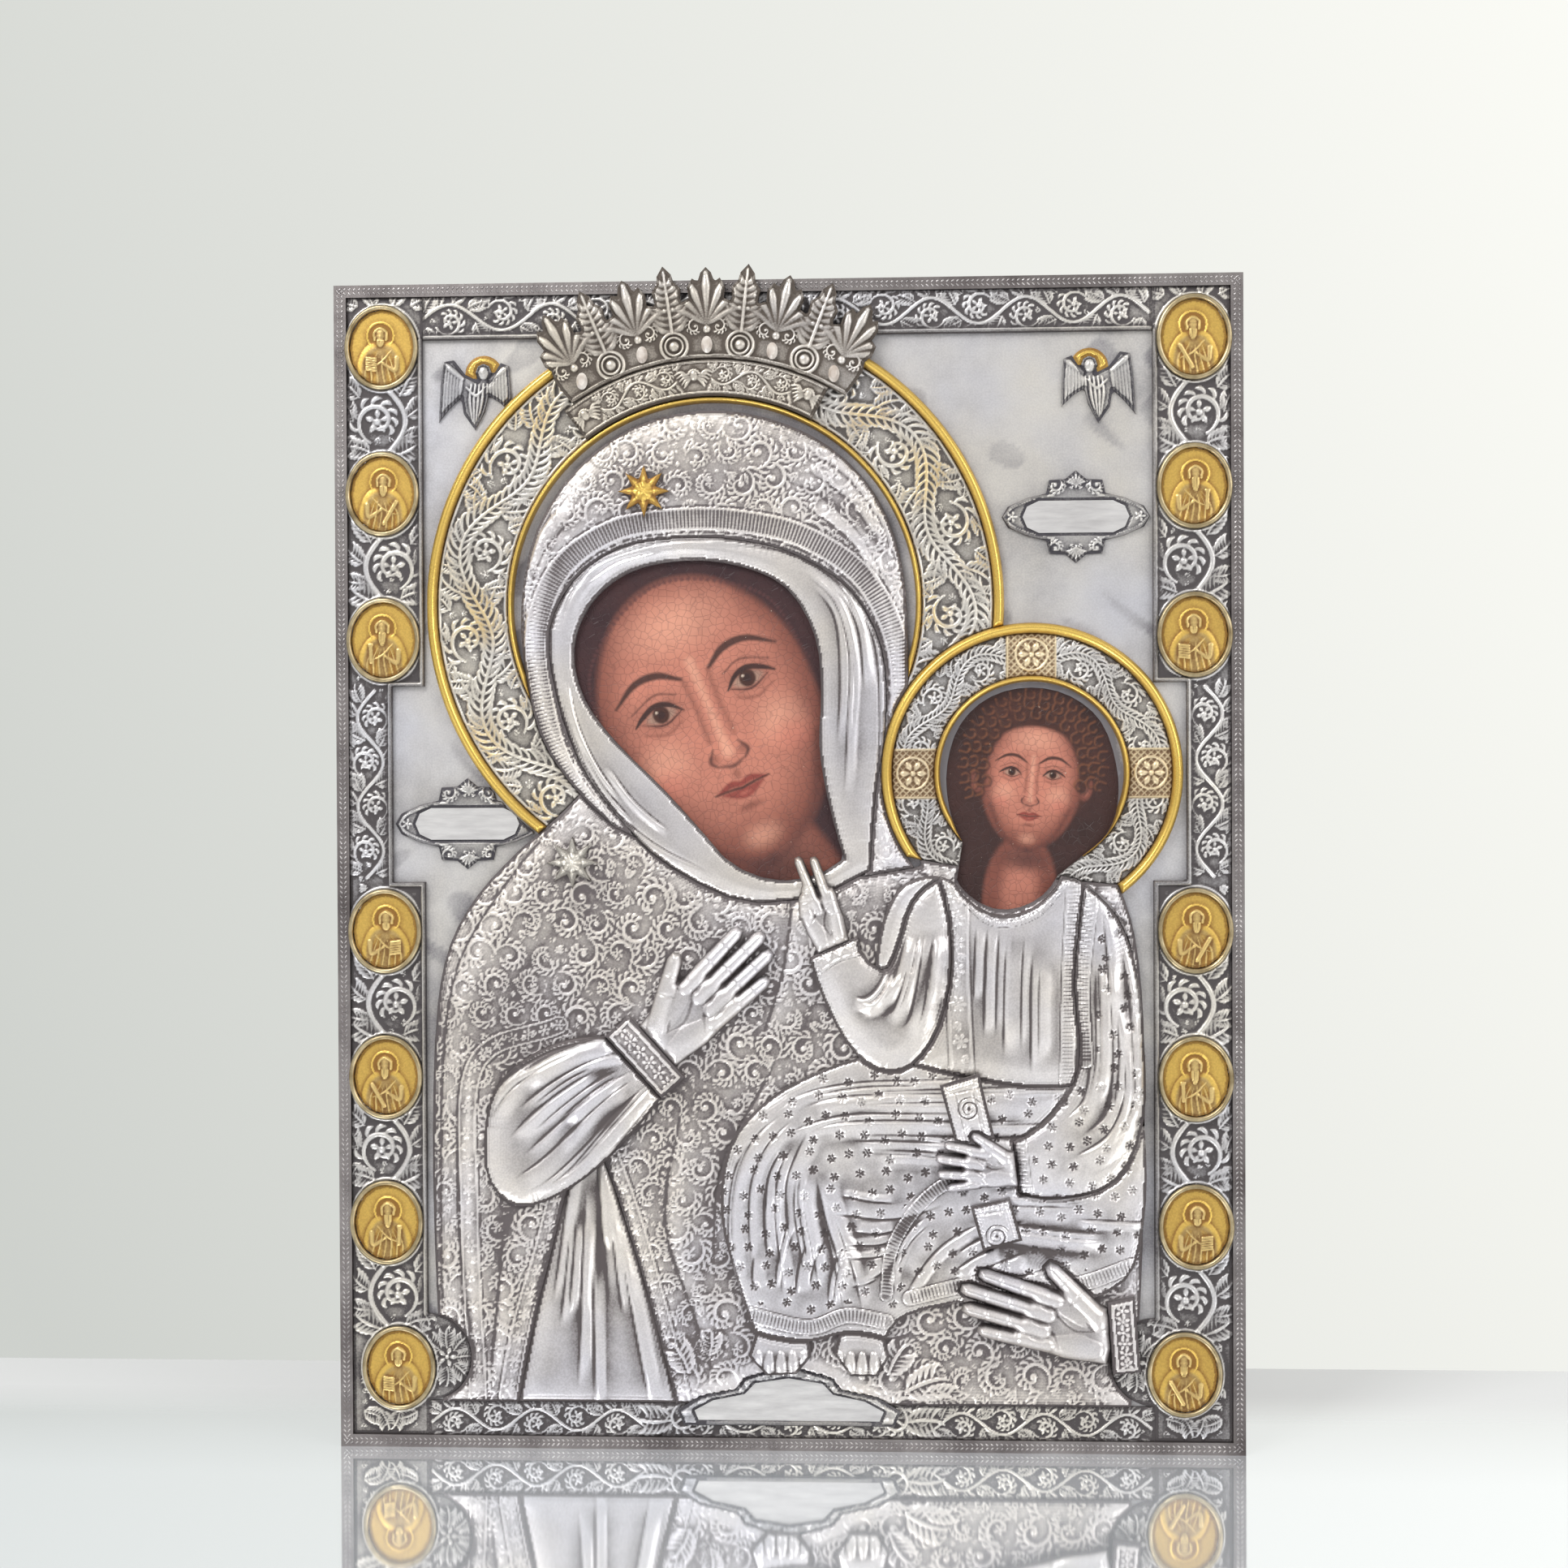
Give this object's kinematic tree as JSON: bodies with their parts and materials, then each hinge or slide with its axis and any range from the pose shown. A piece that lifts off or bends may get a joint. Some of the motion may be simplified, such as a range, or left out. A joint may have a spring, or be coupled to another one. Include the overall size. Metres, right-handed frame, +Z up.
{
  "type": "orthodox icon",
  "caption": "Tabletop icon: a battened wooden panel under an embossed silver cover with gilt haloes, a crown and a border of oval medallions, with a hanging ring behind.",
  "frame": {"origin": "middle of the panel's lower edge, on the face that it stands on and in the board's middle plane", "axes": "+Z up the panel, -Y out of the pictured face, +X to the viewer's right"},
  "size_m": [0.311, 0.0486, 0.4049],
  "materials": {
    "silver_sheet": "embossed silver, polished on the high places and dark with oxide in the recesses",
    "gilt_sheet": "polished gilding with dark recesses",
    "dark_silver_collet": "oxidised silver",
    "plank_wood": "oiled lime wood",
    "batten_wood": "oiled oak",
    "painted_gesso": "tempera on gesso, thinly varnished",
    "hanger_brass": "dulled brass",
    "screw_steel": "plain steel"
  },
  "bodies": {
    "icon": {"field_plate": "silver_sheet", "border_left": "silver_sheet", "border_right": "silver_sheet", "border_top": "silver_sheet", "border_bottom": "silver_sheet", "edge_bottom": "silver_sheet", "edge_right": "silver_sheet", "edge_top": "silver_sheet", "edge_left": "silver_sheet", "mother_halo": "silver_sheet", "child_halo": "silver_sheet", "crown_cresting": "silver_sheet", "crown_band": "silver_sheet", "crown_stones": "silver_sheet", "mother_hood": "silver_sheet", "mother_cap": "silver_sheet", "mother_mantle": "silver_sheet", "mother_dress": "silver_sheet", "mother_sleeve": "silver_sheet", "mother_cuff": "silver_sheet", "mother_right_hand": "silver_sheet", "mother_left_hand": "silver_sheet", "mother_left_cuff": "silver_sheet", "child_tunic": "silver_sheet", "child_himation": "silver_sheet", "child_right_sleeve": "silver_sheet", "child_left_sleeve": "silver_sheet", "child_right_hand": "silver_sheet", "child_left_hand": "silver_sheet", "scroll": "silver_sheet", "child_feet": "silver_sheet", "star_shoulder": "silver_sheet", "angel_left": "silver_sheet", "angel_right": "silver_sheet", "cartouche_upper_frame": "silver_sheet", "cartouche_upper_plate": "silver_sheet", "cartouche_lower_frame": "silver_sheet", "cartouche_lower_plate": "silver_sheet", "cartouche_title_frame": "silver_sheet", "cartouche_title_plate": "silver_sheet", "edge_pins": "silver_sheet", "medallions_left": "gilt_sheet", "medallions_right": "gilt_sheet", "mother_halo_outer_rim": "gilt_sheet", "mother_halo_inner_rim": "gilt_sheet", "child_halo_outer_rim": "gilt_sheet", "child_halo_inner_rim": "gilt_sheet", "star_brow": "gilt_sheet", "angel_haloes": "gilt_sheet", "medallion_collets_left": "dark_silver_collet", "medallion_collets_right": "dark_silver_collet", "plank_left": "plank_wood", "plank_middle": "plank_wood", "plank_right": "plank_wood", "batten_upper": "batten_wood", "batten_lower": "batten_wood", "painted_ground": "painted_gesso", "hanger_strap": "hanger_brass", "hanger_screws": "screw_steel"},
    "hanger_ring": {"hanger_ring": "hanger_brass"}
  },
  "joints": [
    {"name": "hanger_ring", "type": "hinge", "parent": "icon", "child": "hanger_ring", "pos_m": [0, 0.01655, 0.343], "axis": [1, 0, 0], "range_deg": [0, 180]}
  ]
}
